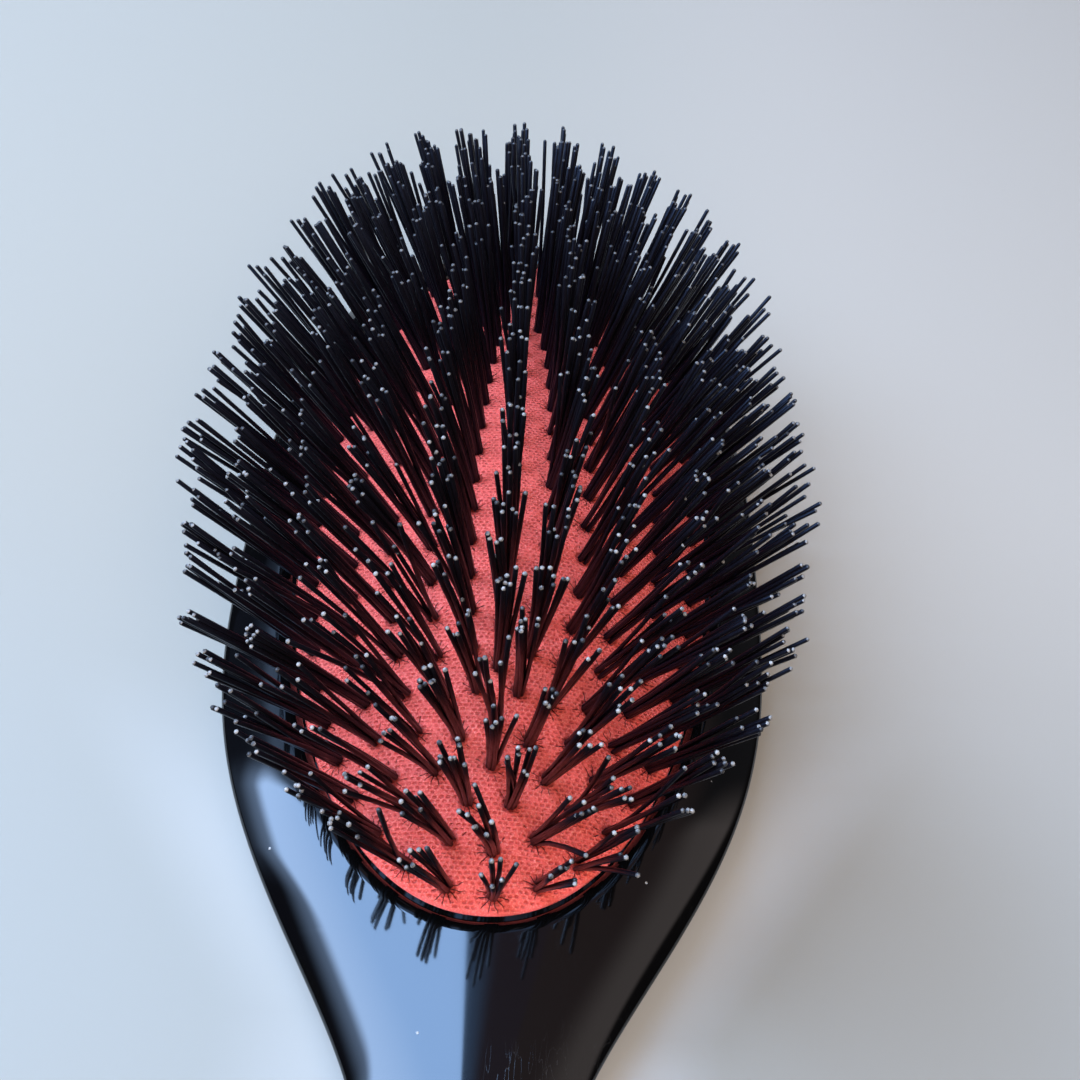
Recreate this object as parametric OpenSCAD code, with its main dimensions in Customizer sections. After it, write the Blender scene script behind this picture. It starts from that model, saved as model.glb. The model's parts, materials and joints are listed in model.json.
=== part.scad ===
// Oval pneumatic cushion hair brush, lying on its back with the bristles up.
// A one-piece moulded handle and head, a domed rubber cushion held by its
// bead in a groove round the head's recess, and bristle tufts that pass
// through the cushion, each drawn over a short wire anchor under it.
// Millimetres, +Z up. +Y runs along the brush towards the tip of the head.

/* [Handle and head] */
// Overall length, tip of the head to the end of the handle
brush_len = 220; // [184:1:264]
// Width of the head where it is widest
head_w = 63; // [53:1:76]
// Width of the neck at its narrowest
neck_w = 18.5; // [15.5:0.5:22]
// Width of the grip where it swells
grip_w = 23.5; // [20:0.5:28]
// Height of the rim above the surface it rests on
rim_z = 12.8; // [12.5:0.1:15]

/* [Cushion] */
// Length of the opening that the cushion fills
pad_len = 102; // [85:1:122]
// Width of the rim beside the cushion
rim_w = 6.9; // [6:0.1:8.3]
// Height of the dome above its edge
dome_h = 10.8; // [9:0.1:12.9]
// Thickness of the cushion sheet
pad_t = 1.4; // [1.1:0.1:1.7]

/* [Bristles] */
// Length of a tuft above the cushion
bristle_len = 19.4; // [16:0.2:23]
// Distance from one tuft to the next along a row
tuft_pitch = 4.6; // [4.2:0.1:5.5]
// Radius of the bundle where it leaves the cushion
tuft_r = 0.78; // [0.68:0.02:0.94]
// Radius of one bristle
bristle_r = 0.24; // [0.2:0.01:0.25]
// Angle by which the outer bristles of a tuft spread
spread = 2.6; // [1.5:0.1:3.2]

/* [Fits] */
// Clearance between a tuft and its hole
hole_gap = 0.06; // [0.04:0.01:0.08]
// Clearance round the cushion's bead in its groove
bead_gap = 0.25; // [0.15:0.05:0.3]
// Clearance between an anchor wire and the fold of the tuft over it
wire_gap = 0.05; // [0.03:0.01:0.06]

/* [Hidden] */
$fn = 24;
rows = 5;                             // oval rows round the centre row
edge_gap = 2.1;                       // outermost row in from the opening
end_gap = 4.1;                        // from row to row at the ends
oval_n = 2.1;                         // roundness of the opening and the rows
dome_n = 1.1;                         // fullness of the dome
pad_a = head_w/2 - rim_w;             // half width of the opening
pad_b = pad_len/2;                    // half length of the opening
tip_rim = 6.2;                        // rim at the tip of the head
tip_y = pad_b + tip_rim;              // from the middle of the opening
end_y = tip_y - brush_len;
shift_y = brush_len/2 - tip_y;        // puts the brush's middle at y = 0
wide_y = 0;                           // where the head is widest
neck_y = -pad_b - 23;                 // where the neck is narrowest
grip_y = end_y + 35;                  // where the grip is widest
mid_z = 8.5;                          // height of the widest line round the brush
brow = 0.6;                           // share of the crown that its edge rounding gives
brow_r = 8;                           // how far in the edge's rounding reaches
back_n = 2.2;                         // roundness of the back
back_r = 15;                          // how far in the back's rounding reaches
neck_lift = 1.1;                      // the back of the neck is off the surface
dip_from = 13;                        // the neck starts down this far before the opening's end
mid_dip = 2.2;                        // the widest line is lower by this at the neck
neck_dip = 1.2;                       // and the top over it is lower by this as well
mid_rise = 0.6;                       // the widest line comes up again along the grip
grip_rise = 1.8;                      // and the top over it is this much higher than the rim's
floor_z = 2.6;                        // floor of the recess
edge_z = 10.4;                        // top of the cushion at its edge
groove_d = 1.6;                       // depth of the bead's groove
ledge_z = edge_z - pad_t;             // the bead rests on this ledge
inset = 0.35;                         // inner dome's edge in from the outer one
wire_r = 0.27;
wire_len = 2.9;
wire_seat = 0.3;                      // from the anchor to the sheet it pulls on
wire_d = pad_t + wire_seat + wire_r;  // anchor's axis below the cushion's face
fold_wall = 0.45;                     // bristle that passes under the anchor
fold_d = wire_d + wire_r + wire_gap + fold_wall; // lowest point of the fold
collar = 0.35;                        // the bundle stands out this far before it opens
sunk = 0.2;                           // bristles start this far inside the bundle
ring_r = tuft_r - bristle_r - 0.04;   // circle of the outer bristles in a bundle
uneven = 0.5;                         // bristles are longer or shorter by up to this
punch_in = pad_t + 1;                 // a hole's cutter starts this far below the face
punch_len = punch_in + 1.6;
lead_z = edge_z + 0.7;                // the opening's edge flares out from here up
lead_in = 0.4;                        // and is this much wider for each mm of height
clear_z = 8;                          // the flare's cutter goes on this far up
spine_tip = 30;                       // the head's spine stops this far from its tip
core = 0.9;                           // rounding reaches at most this share of the way in
head_n = 2.25;                        // roundness of the head's outline
end_n = 2.5;                          // roundness of the handle's end
flare = 1.82;                         // how soon the neck opens into the head
vent_r = 0.8;
// Where along its half length each row is divided, and how far its first
// tuft lies past the row's lowest point, in pitches
cuts = [[0.65], [0.55, 0.81], [0.57, 0.84], [0.67], [0.71], [0.71]];
starts = [0, 0, 0, 0.5, 0.17, 0.25];

// ---- ovals
function spow(v, n) = sign(v)*pow(abs(v), n);
function oval(a, b, n, count) =
  [for (i = [0:count-1]) let (t = -90 + 360*i/count)
    [a*spow(cos(t), 2/n), b*spow(sin(t), 2/n)]];
function smooth(t) = let (u = min(max(t, 0), 1)) u*u*(3 - 2*u);

// ---- the dome: height and outward direction over any point
function oval_r(x, y) =
  pow(pow(abs(x/pad_a), oval_n) + pow(abs(y/pad_b), oval_n), 1/oval_n);
function dome_z(x, y) =
  edge_z + dome_h*pow(max(1 - pow(oval_r(x, y), 2), 0), dome_n);
function slope(x, y, dx, dy) =
  (dome_z(x + dx, y + dy) - dome_z(x - dx, y - dy))/(2*(dx + dy));
function dome_up(x, y) =
  let (v = [-slope(x, y, 0.02, 0), -slope(x, y, 0, 0.02), 1]) v/norm(v);

// ---- the rows of tufts: points evenly spaced along nested ovals
row_gap = (pad_a - edge_gap)/rows;
function row_b(k) = pad_b - edge_gap - (rows - k)*end_gap;
centre_b = row_b(1) - 1.5*end_gap;
function running(p) =
  [for (i = 0, s = 0; i < len(p); s = s + norm(p[(i+1) % len(p)] - p[i]), i = i + 1) s];
steps = 240;
function ring_tufts(k) =
  let (fine = oval(k*row_gap, row_b(k), oval_n, steps),
       run = running(fine),
       total = run[steps-1] + norm(fine[0] - fine[steps-1]),
       count = 2*round(total/tuft_pitch/2),
       xs = [for (i = [0:steps]) [i < steps ? run[i] : total, fine[i % steps][0]]],
       ys = [for (i = [0:steps]) [i < steps ? run[i] : total, fine[i % steps][1]]])
  [for (j = [0:count-1]) let (s = (j + starts[k])*total/count)
    [lookup(s, xs), lookup(s, ys)]];
function centre_tufts() =
  let (count = 2*round(centre_b/tuft_pitch))
  [for (j = [0:count]) [0, centre_b*(2*j/count - 1)]];
function row_tufts(k) = k == 0 ? centre_tufts() : ring_tufts(k);
function part_of(k, y) =
  let (f = abs(y)/(k == 0 ? centre_b : row_b(k)))
  len([for (c = cuts[k]) if (f > c) 1]);
function stretch(k, part) = [for (p = row_tufts(k)) if (part_of(k, p[1]) == part) p];

// ---- outline of the handle and head: half width at y
function half_w(y) =
  y >= wide_y ? let (u = (y - wide_y)/(tip_y - wide_y))
      head_w/2*pow(max(1 - pow(u, head_n), 0), 1/head_n)
  : y >= neck_y ? let (t = (y - neck_y)/(wide_y - neck_y))
      neck_w/2 + (head_w - neck_w)/2*smooth(1 - pow(1 - t, flare))
  : y >= grip_y ? grip_w/2 - (grip_w - neck_w)/2*smooth((y - grip_y)/(neck_y - grip_y))
  : let (u = (grip_y - y)/(grip_y - end_y)) grip_w/2*pow(max(1 - pow(u, end_n), 0), 1/end_n);
function blend(from, to, count) = [for (i = [1:count]) from + (to - from)*i/count];
function round_off(from, to, count, n) =
  [for (i = [1:count]) from + (to - from)*pow(sin(90*i/count), 2/n)];
stations = concat(
  [for (i = [12:-1:1]) round_off(wide_y, tip_y, 12, head_n)[i-1]], [wide_y],
  blend(wide_y, neck_y, 15), blend(neck_y, grip_y, 8), round_off(grip_y, end_y, 8, end_n));
last = len(stations) - 1;
// Height of the widest line, of the top above it and depth of the back below it
function ease(y, from, to) = smooth((y - from)/(to - from));
function to_neck(y) = ease(y, dip_from - pad_b, neck_y + 4);
function to_grip(y) = ease(y, neck_y - 10, grip_y);
function mid_at(y) = mid_z - mid_dip*to_neck(y) + mid_rise*to_grip(y);
function top_h(y) = rim_z - mid_z - neck_dip*to_neck(y) + (neck_dip + grip_rise)*to_grip(y);
function back_d(y) =
  mid_at(y) - neck_lift*(ease(y, 6 - pad_b, neck_y + 5) - ease(y, neck_y - 8, grip_y + 10));
// Every outline point looks in at a spine along the middle of the brush
function spine_y(y) = min(max(y, end_y + grip_w/2), tip_y - spine_tip);
side_pts = [for (i = [0:last]) [i == 0 || i == last ? 0 : half_w(stations[i]), stations[i]]];
around = concat(side_pts, [for (i = [last-1:-1:1]) [-side_pts[i][0], side_pts[i][1]]]);
// The top is a low arch right across, and a second one that rounds its edge
function arch(d, r) = 1 - pow(max(1 - d/r, 0), 2);
function crown(d, reach) = (1 - brow)*arch(d, reach) + brow*arch(d, min(brow_r, reach));
function top_ring(angle) =
  [for (p = around)
    let (inward = [0, spine_y(p[1])] - p, reach = norm(inward),
         d = core*reach*(1 - cos(angle)), q = p + inward*d/reach)
    [q[0], q[1], mid_at(p[1]) + top_h(p[1])*crown(d, reach)]];
function back_ring(angle) =
  [for (p = around)
    let (inward = [0, spine_y(p[1])] - p, reach = norm(inward),
         q = p + inward/reach*min(back_r, core*reach)*(1 - pow(cos(angle), 2/back_n)))
    [q[0], q[1], mid_at(p[1]) - back_d(p[1])*pow(sin(angle), 2/back_n)]];
back_bands = 7;
top_bands = 10;
body_rings = concat(
  [for (i = [back_bands:-1:1]) back_ring(90*i/back_bands)],
  [for (i = [0:top_bands]) top_ring(90*i/top_bands)]);

// Closed skin over rings that all have the same number of points, with each
// end ring bridged from side to side
module ring_skin(rings) {
  n = len(rings[0]);
  m = len(rings);
  h = floor(n/2);
  polyhedron(
    points = [for (r = rings) each r],
    faces = concat(
      [for (i = [0:m-2]) for (j = [0:n-1]) let (a = i*n + j, b = i*n + (j+1) % n)
        each [[a, b, b + n], [a, b + n, a + n]]],
      [for (j = [0:h-1]) let (a = j, b = j + 1, c = (n - j - 1) % n, d = (n - j) % n)
        each concat(d == a ? [] : [[a, d, b]], b == c ? [] : [[b, d == a ? a : d, c]])],
      [for (j = [0:h-1])
        let (o = (m-1)*n, a = o + j, b = a + 1, c = o + (n - j - 1) % n, d = o + (n - j) % n)
        each concat(d == a ? [] : [[a, b, d]], b == c ? [] : [[b, c, d == a ? a : d]])]));
}

module opening(grow, z0, z1) {
  translate([0, 0, z0]) linear_extrude(z1 - z0)
    polygon(oval(pad_a + grow, pad_b + grow, oval_n, 96));
}

module oval_loft(sections) {
  n = 96;
  m = len(sections);
  polyhedron(
    points = [for (s = sections) for (p = oval(pad_a + s[0], pad_b + s[0], oval_n, n)) [p[0], p[1], s[1]]],
    faces = concat(
      [[for (j = [0:n-1]) j]],
      [for (i = [0:m-2]) for (j = [0:n-1]) let (a = i*n + j, b = i*n + (j+1) % n)
        each [[a, b + n, b], [a, a + n, b + n]]],
      [[for (j = [n-1:-1:0]) (m-1)*n + j]]));
}

module at_tuft(p) {
  up = dome_up(p[0], p[1]);
  translate([p[0], p[1] + shift_y, dome_z(p[0], p[1])])
    rotate([0, acos(up[2]), atan2(up[1], up[0])]) children();
}

module punch(r) {
  translate([0, 0, -punch_in]) cylinder(r = r, h = punch_len);
}

// ---- physical pieces
module handle() {
  color([0.03, 0.03, 0.035]) translate([0, shift_y, 0]) difference() {
    ring_skin(body_rings);
    opening(0, floor_z, rim_z + 10);
    opening(groove_d, ledge_z, edge_z + bead_gap);
    oval_loft([[-lead_in, lead_z - 1], [lead_in*clear_z, lead_z + clear_z]]);
  }
}

// The sheet's section runs from the crown out to the bead and back under the
// dome; k is how far out along the section, 1 at the opening's edge
pad_rings = 9;
pad_points = 56;
function pad_ring(grow, z, k = 1) =
  [for (p = oval((pad_a + grow)*k, (pad_b + grow)*k, oval_n, pad_points))
    [p[0], p[1], z + dome_h*pow(max(1 - k*k, 0), dome_n)]];
module cushion() {
  n = pad_points;
  ks = [for (i = [1:pad_rings]) sin(90*i/pad_rings)];
  bead = groove_d - bead_gap;
  rings = concat([for (k = ks) pad_ring(0, edge_z, k)],
    [pad_ring(bead, edge_z), pad_ring(bead, ledge_z)],
    [for (i = [pad_rings-1:-1:0]) pad_ring(-inset, ledge_z, ks[i])]);
  m = len(rings);
  color([0.85, 0.22, 0.17]) difference() {
    translate([0, shift_y, 0]) polyhedron(
      points = concat([for (r = rings) each r],
        [[0, 0, edge_z + dome_h], [0, 0, ledge_z + dome_h]]),
      faces = concat(
        [for (j = [0:n-1]) [m*n, (j+1) % n, j]],
        [for (i = [0:m-2]) for (j = [0:n-1]) let (a = i*n + j, b = i*n + (j+1) % n)
          each [[a, b, b + n], [a, b + n, a + n]]],
        [for (j = [0:n-1]) [m*n + 1, (m-1)*n + j, (m-1)*n + (j+1) % n]]));
    for (k = [0:rows]) for (p = row_tufts(k)) at_tuft(p) punch(tuft_r + hole_gap);
    // air vent between two tufts of the centre row
    let (c = centre_tufts(), i = floor(len(c)/2))
      at_tuft((c[i] + c[i+1])/2) punch(vent_r);
  }
}

// One tuft: the bundle folded over its anchor, and the bristles it opens into
module tuft(p, seed) {
  at_tuft(p) difference() {
    union() {
      translate([0, 0, -fold_d]) cylinder(r = tuft_r, h = fold_d + collar);
      bristle(0, 0, seed*137);
      for (i = [1:6]) rotate([0, 0, i*60 + seed*17]) bristle(ring_r, spread, seed*137 + i*101);
    }
    across(wire_r + wire_gap, 3*tuft_r);
  }
}
module bristle(out, lean, phase) {
  translate([out, 0, collar - sunk]) rotate([0, lean, 0])
    cylinder(r = bristle_r, h = bristle_len + uneven*sin(phase));
}
// A rod where the anchor lies, along the row
module across(r, h) {
  translate([0, 0, -wire_d]) rotate([90, 0, 0]) cylinder(r = r, h = h, center = true);
}
module tufts(k, part) {
  s = stretch(k, part);
  color([0.05, 0.04, 0.05]) for (i = [0:len(s)-1]) tuft(s[i], k*31 + i);
}
module anchors(k, part) {
  color([0.7, 0.7, 0.72]) for (p = stretch(k, part)) at_tuft(p) across(wire_r, wire_len);
}

handle();
cushion();
tufts(0, 0);  // tufts_r0_mid
tufts(0, 1);  // tufts_r0_end
tufts(1, 0);  // tufts_r1_mid
tufts(1, 1);  // tufts_r1_bend
tufts(1, 2);  // tufts_r1_end
tufts(2, 0);  // tufts_r2_mid
tufts(2, 1);  // tufts_r2_bend
tufts(2, 2);  // tufts_r2_end
tufts(3, 0);  // tufts_r3_mid
tufts(3, 1);  // tufts_r3_end
tufts(4, 0);  // tufts_r4_mid
tufts(4, 1);  // tufts_r4_end
tufts(5, 0);  // tufts_r5_mid
tufts(5, 1);  // tufts_r5_end
anchors(0, 0);  // anchors_r0_mid
anchors(0, 1);  // anchors_r0_end
anchors(1, 0);  // anchors_r1_mid
anchors(1, 1);  // anchors_r1_bend
anchors(1, 2);  // anchors_r1_end
anchors(2, 0);  // anchors_r2_mid
anchors(2, 1);  // anchors_r2_bend
anchors(2, 2);  // anchors_r2_end
anchors(3, 0);  // anchors_r3_mid
anchors(3, 1);  // anchors_r3_end
anchors(4, 0);  // anchors_r4_mid
anchors(4, 1);  // anchors_r4_end
anchors(5, 0);  // anchors_r5_mid
anchors(5, 1);  // anchors_r5_end
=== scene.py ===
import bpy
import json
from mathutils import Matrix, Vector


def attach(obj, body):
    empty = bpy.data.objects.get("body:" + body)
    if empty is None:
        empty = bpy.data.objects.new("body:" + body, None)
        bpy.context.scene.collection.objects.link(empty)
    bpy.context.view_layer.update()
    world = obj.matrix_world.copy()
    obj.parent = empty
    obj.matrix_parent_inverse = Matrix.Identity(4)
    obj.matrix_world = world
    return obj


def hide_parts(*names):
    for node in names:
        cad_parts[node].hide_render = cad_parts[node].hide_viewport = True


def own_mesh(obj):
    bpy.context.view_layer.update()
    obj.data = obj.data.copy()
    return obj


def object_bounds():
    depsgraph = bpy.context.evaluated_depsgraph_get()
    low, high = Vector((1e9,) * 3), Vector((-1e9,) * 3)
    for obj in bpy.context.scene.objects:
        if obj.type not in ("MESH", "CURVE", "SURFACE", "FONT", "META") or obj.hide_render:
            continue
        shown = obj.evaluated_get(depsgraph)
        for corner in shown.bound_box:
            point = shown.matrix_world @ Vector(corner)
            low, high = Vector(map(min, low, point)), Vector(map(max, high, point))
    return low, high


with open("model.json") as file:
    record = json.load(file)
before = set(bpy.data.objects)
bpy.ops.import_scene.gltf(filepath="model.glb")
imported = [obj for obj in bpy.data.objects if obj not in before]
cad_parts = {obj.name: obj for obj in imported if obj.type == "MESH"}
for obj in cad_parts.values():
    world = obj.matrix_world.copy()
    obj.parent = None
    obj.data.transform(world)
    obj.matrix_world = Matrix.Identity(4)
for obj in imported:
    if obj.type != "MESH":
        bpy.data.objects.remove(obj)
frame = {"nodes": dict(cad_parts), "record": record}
cad_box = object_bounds()

# %% [markdown]
# # A cushion brush, worked out as surfaces
# The brush lies on its back with its bristles up. It has four kinds of piece:
# a gloss black handle whose head holds an oval recess, a domed sheet of
# rubbered cloth over that recess, tufts of thick nylon bristles that come up
# through the cloth, and a short steel wire under each tuft that keeps it in.
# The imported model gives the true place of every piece. Each shape below is a
# formula on a grid of numbers, in millimetres, and only the last step before
# Blender turns millimetres into metres.

# %% Tools and units
import json
import bpy
import bmesh
import numpy as np
from mathutils import Vector

MM = 0.001
low, high = (np.array(c) / MM for c in cad_box)
print("the packed brush spans", np.round(low, 1), "to", np.round(high, 1), "mm")

# %% [markdown]
# ## The sizes that the shapes share
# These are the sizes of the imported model. Along the brush, y is counted from
# the middle of the oval opening here, and the whole brush is slid along by
# SLIDE at the end, so that its own middle sits at the origin.

# %% Sizes of the brush
BRUSH_LEN, HEAD_W, NECK_W, GRIP_W = 220.0, 63.0, 18.5, 23.5
RIM_Z, MID_Z, FLOOR_Z = 12.8, 8.5, 2.6
PAD_A, PAD_B, OVAL_N = 24.6, 51.0, 2.1
EDGE_Z, DOME_H, DOME_N, PAD_T = 10.4, 10.8, 1.1, 1.4
BRISTLE_LEN, TUFT_PITCH = 19.4, 4.6
TIP_RIM, NECK_OUT, GRIP_IN = 6.2, 23, 35  # opening to tip, opening to neck, end to grip
TIP_Y = PAD_B + TIP_RIM
END_Y = TIP_Y - BRUSH_LEN
SLIDE = BRUSH_LEN / 2 - TIP_Y
WIDE_Y, NECK_Y, GRIP_Y = 0.0, -PAD_B - NECK_OUT, END_Y + GRIP_IN
print(f"opening {2 * PAD_A:.1f} by {2 * PAD_B:.1f} mm, slid by {SLIDE:.1f} mm")

# %% [markdown]
# ## Ovals
# The opening, its lip, the edge of the cushion and the rows of tufts are all
# one family of curves, slightly squarer than an ellipse. A superellipse gives
# them with one number for the squareness.

# %% Ovals and soft steps
def spow(v, n):
    """The power n of |v|, with the sign of v."""
    return np.sign(v) * np.abs(v) ** n


def oval(a, b, turn):
    """Points of |x/a|^n + |y/b|^n = 1: x = a cos(t)^(2/n), y = b sin(t)^(2/n)."""
    t = np.radians(turn)
    x, y = a * spow(np.cos(t), 2 / OVAL_N), b * spow(np.sin(t), 2 / OVAL_N)
    return np.stack([x, y], -1)


def smooth(t):
    """A soft step from 0 to 1: 3t^2 - 2t^3."""
    t = np.clip(t, 0, 1)
    return t * t * (3 - 2 * t)


def bump(r, width):
    """A round bump of height 1: exp(-(r/width)^2)."""
    return np.exp(-(r / width) ** 2)


eighths = oval(PAD_A, PAD_B, np.array([0, 45, 90]))
print("the opening passes", np.round(eighths, 1).tolist(), "mm")

# %% [markdown]
# ## From a grid to a piece
# A grid of points with one row per ring becomes quads by joining each point
# to its neighbours in the row and in the next row. Seams and poles are closed
# by merging the points that fall together, and then the faces of the closed
# shell are turned to point outwards.

# %% Grids, pieces and a check that they are closed
def grid_quads(rows, cols, start=0):
    """Quads between closed rings: rows rings of cols points, numbered from start."""
    i, j = np.meshgrid(np.arange(rows - 1), np.arange(cols), indexing="ij")
    a, b = start + i * cols + j, start + i * cols + (j + 1) % cols
    return np.stack([a, b, b + cols, a + cols], -1).reshape(-1, 4)


def make_piece(name, points, faces, finishes, slide=True):
    """An object from an (n, 3) array in millimetres and a list of index arrays."""
    at = np.asarray(points, float) + (np.array([0, SLIDE, 0]) if slide else 0)
    mesh = bpy.data.meshes.new(name)
    mesh.from_pydata((at * MM).tolist(), [], [f for part in faces for f in part.tolist()])
    mesh.shade_smooth()
    for finish in finishes:
        mesh.materials.append(finish)
    piece = bpy.data.objects.new(name, mesh)
    bpy.context.scene.collection.objects.link(piece)
    return piece


def mark_points(piece, name, values):
    """Gives each point a number, or three, under a name that a finish can read."""
    kind, field = ("FLOAT", "value") if values.ndim == 1 else ("FLOAT_VECTOR", "vector")
    mark = piece.data.attributes.new(name, kind, "POINT")
    mark.data.foreach_set(field, values.astype(np.float32).ravel())


JOIN, CM3 = 1e-7, 1e6  # metres between points that are one; cm3 in a cubic metre


def close_shell(piece):
    """Merges points that fall together, turns the faces out and says what is open."""
    work = bmesh.new()
    work.from_mesh(piece.data)
    bmesh.ops.remove_doubles(work, verts=work.verts, dist=JOIN)
    bmesh.ops.recalc_face_normals(work, faces=work.faces)
    if work.calc_volume(signed=True) < 0:
        bmesh.ops.reverse_faces(work, faces=work.faces)
    gaps = sum(1 for e in work.edges if not e.is_manifold)
    volume = work.calc_volume() * CM3
    work.to_mesh(piece.data)
    work.free()
    faces = len(piece.data.polygons)
    print(f"{piece.name}: {faces} faces, {gaps} open edges, {volume:.2f} cm3")


print("two rings of six points are joined by", len(grid_quads(2, 6)), "quads")


# %% [markdown]
# ## Shader maths as plain expressions
# A pattern such as a weave is arithmetic on a point's position. Wrapping a
# socket in a small class lets that arithmetic be written as it is read, and
# every operator adds the Math node that does it.

# %% A socket that can be added and multiplied
class Sock:
    """One output socket of a node tree, or the tree alone, for the first nodes."""

    def __init__(self, tree, out=None):
        self.tree, self.out = tree, out

    def node(self, kind, settings=None, sockets=None, out=0):
        """Any node: its type, its settings, such as a Math node's operation, its sockets."""
        made = self.tree.nodes.new("ShaderNode" + kind)
        for key, value in (settings or {}).items():
            setattr(made, key, value)
        for key, value in (sockets or {}).items():
            if isinstance(value, Sock):
                self.tree.links.new(value.out, made.inputs[key])
            else:
                made.inputs[key].default_value = value
        return Sock(self.tree, made.outputs[out])

    def math(self, operation, *values):
        """One Math node on these values."""
        return self.node("Math", {"operation": operation}, dict(enumerate(values)))

    def __add__(self, other): return self.math("ADD", self, other)
    def __radd__(self, other): return self.math("ADD", other, self)
    def __sub__(self, other): return self.math("SUBTRACT", self, other)
    def __rsub__(self, other): return self.math("SUBTRACT", other, self)
    def __mul__(self, other): return self.math("MULTIPLY", self, other)
    def __rmul__(self, other): return self.math("MULTIPLY", other, self)
    def __truediv__(self, other): return self.math("DIVIDE", self, other)
    def __abs__(self): return self.math("ABSOLUTE", self)

    def step(self, start, end):
        """0 before start, 1 after end, soft between."""
        soft = {"interpolation_type": "SMOOTHSTEP"}
        return self.node("MapRange", soft, {0: self, 1: start, 2: end})

    def mix(self, a, b):
        """The colour a where this is 0 and b where it is 1."""
        a, b = ((*c, 1) if isinstance(c, tuple) and len(c) == 3 else c for c in (a, b))
        return self.node("Mix", {"data_type": "RGBA"}, {0: self, 6: a, 7: b}, out=2)

    def place(self, stretch=(1, 1, 1)):
        """Object coordinates in millimetres, stretched along x, y and z."""
        at = self.node("TexCoord", out="Object")
        times = tuple(s * 1000 for s in stretch)
        return self.node("VectorMath", {"operation": "MULTIPLY"}, {0: at, 1: times})

    def away(self, operation, *values):
        """A number from vectors, such as their DISTANCE or a LENGTH."""
        return self.node("VectorMath", {"operation": operation}, dict(enumerate(values)), out=1)

    def noise(self, at, scale, detail=2.0, rough=0.5):
        """Cloudy noise from 0 to 1, scale clouds to the millimetre."""
        sockets = {"Vector": at, "Scale": scale, "Detail": detail, "Roughness": rough}
        return self.node("TexNoise", {}, sockets)

    def cells(self, at, scale, what):
        """Random cells: the Distance from a cell's middle, or the cell's own Color."""
        sockets = {"Vector": at, "Scale": scale, "Randomness": 1.0}
        return self.node("TexVoronoi", {}, sockets, out=what)

    def value(self, name, out="Fac"):
        """What the mesh carries at each point under this name."""
        return self.node("Attribute", {"attribute_name": name}, out=out)

    def relief(self, height, strength, depth):
        """A Normal from a height, depth in metres."""
        return self.node("Bump", {}, {"Height": height, "Strength": strength, "Distance": depth})

    def split(self):
        """The x, y and z of a vector."""
        return [self.node("SeparateXYZ", {}, {0: self}, out=axis) for axis in "XYZ"]


def new_finish(name, fixed, paint):
    """A material of one Principled shader. fixed are its constants, paint(c) its links."""
    finish = bpy.data.materials.new(name)
    finish.use_nodes = True
    tree = finish.node_tree
    tree.nodes.clear()
    shader = tree.nodes.new("ShaderNodeBsdfPrincipled")
    tree.links.new(shader.outputs[0], tree.nodes.new("ShaderNodeOutputMaterial").inputs[0])
    for key, value in fixed.items():
        shader.inputs[key].default_value = value
    for key, sock in paint(Sock(tree)).items():
        tree.links.new(sock.out, shader.inputs[key])
    print(f"finish {name}: {len(tree.nodes)} nodes")
    return finish


# %% [markdown]
# ## Gloss black plastic
# The handle is moulded from one black plastic and polished. What shows on it
# is mostly the room in its gloss, broken by wiping marks, a few hair
# scratches and specks of dust, so the base is nearly black and the detail is
# in the roughness and a very shallow bump.

# %% Finish of the handle
BLACK, SCRATCH, DUST = (0.0015, 0.0015, 0.0018), (0.02, 0.02, 0.022), (0.30, 0.30, 0.31)
DUST_CELLS, DUST_R = 0.42, (0.075, 0.035)  # to the millimetre, and in cells


def paint_handle(c):
    """Near black, with wiping marks in the roughness, hair scratches and dust."""
    at = c.place()
    smear = c.noise(c.place((0.05, 0.012, 0.05)), 1.0, 4.0, 0.6)
    # hair scratches: thin ridges of a noise that is stretched along the brush
    streak = c.noise(c.place((1.7, 0.06, 1.7)), 1.0, 1.0)
    scratch = abs(streak - 0.5).step(0.006, 0.0) * c.noise(at, 0.05, 2.0).step(0.52, 0.66)
    # dust: the middles of the fifth of the cells whose own colour is reddest
    middle = c.cells(at, DUST_CELLS, "Distance").step(*DUST_R)
    dust = middle * c.cells(at, DUST_CELLS, "Color").split()[0].step(0.80, 0.82)
    height = scratch * -0.3 + dust + c.noise(at, 0.12, 2.0) * 0.25
    return {
        "Base Color": dust.mix(scratch.mix(BLACK, SCRATCH), DUST),
        "Roughness": 0.045 + smear.step(0.35, 0.8) * 0.05 + scratch * 0.15 + dust * 0.5,
        "Normal": c.relief(height, 0.25, 0.00003),
    }


gloss_black = new_finish("gloss_black_plastic",
                         {"IOR": 1.52, "Specular IOR Level": 0.5}, paint_handle)

# %% [markdown]
# ## Rubbered cloth
# The cushion is cotton cloth coated with coral rubber. The threads still
# print through the coating as staggered rows of little pits, which are in the
# bump; the deeper red down in them is painted shade. Pale threads at random
# are a painted highlight, and the dark rim round each hole, where a tuft goes
# in, is painted shade. Round many of the holes the coating has cracked in
# short dark lines. The cracks need to know where the holes are, so each point
# of the mesh carries, as the attribute from_hole, the way from the nearest
# hole in x and y and how far that is. A crack is where the sine of the
# bearing, times that distance, is small, so a crack keeps its width as it runs
# outward.

# %% Finish of the cushion
THREAD_GAP, ROW_GAP = 0.64, 0.44  # millimetres between pits along a row, and between rows
SPOKES = 6  # the sine crosses zero twice as often round a hole
HOLE_RIM, CRACK_WIDE, CRACK_END = (1.05, 0.80), (0.36, 0.12), (2.25, 1.80)  # from none to full
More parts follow.
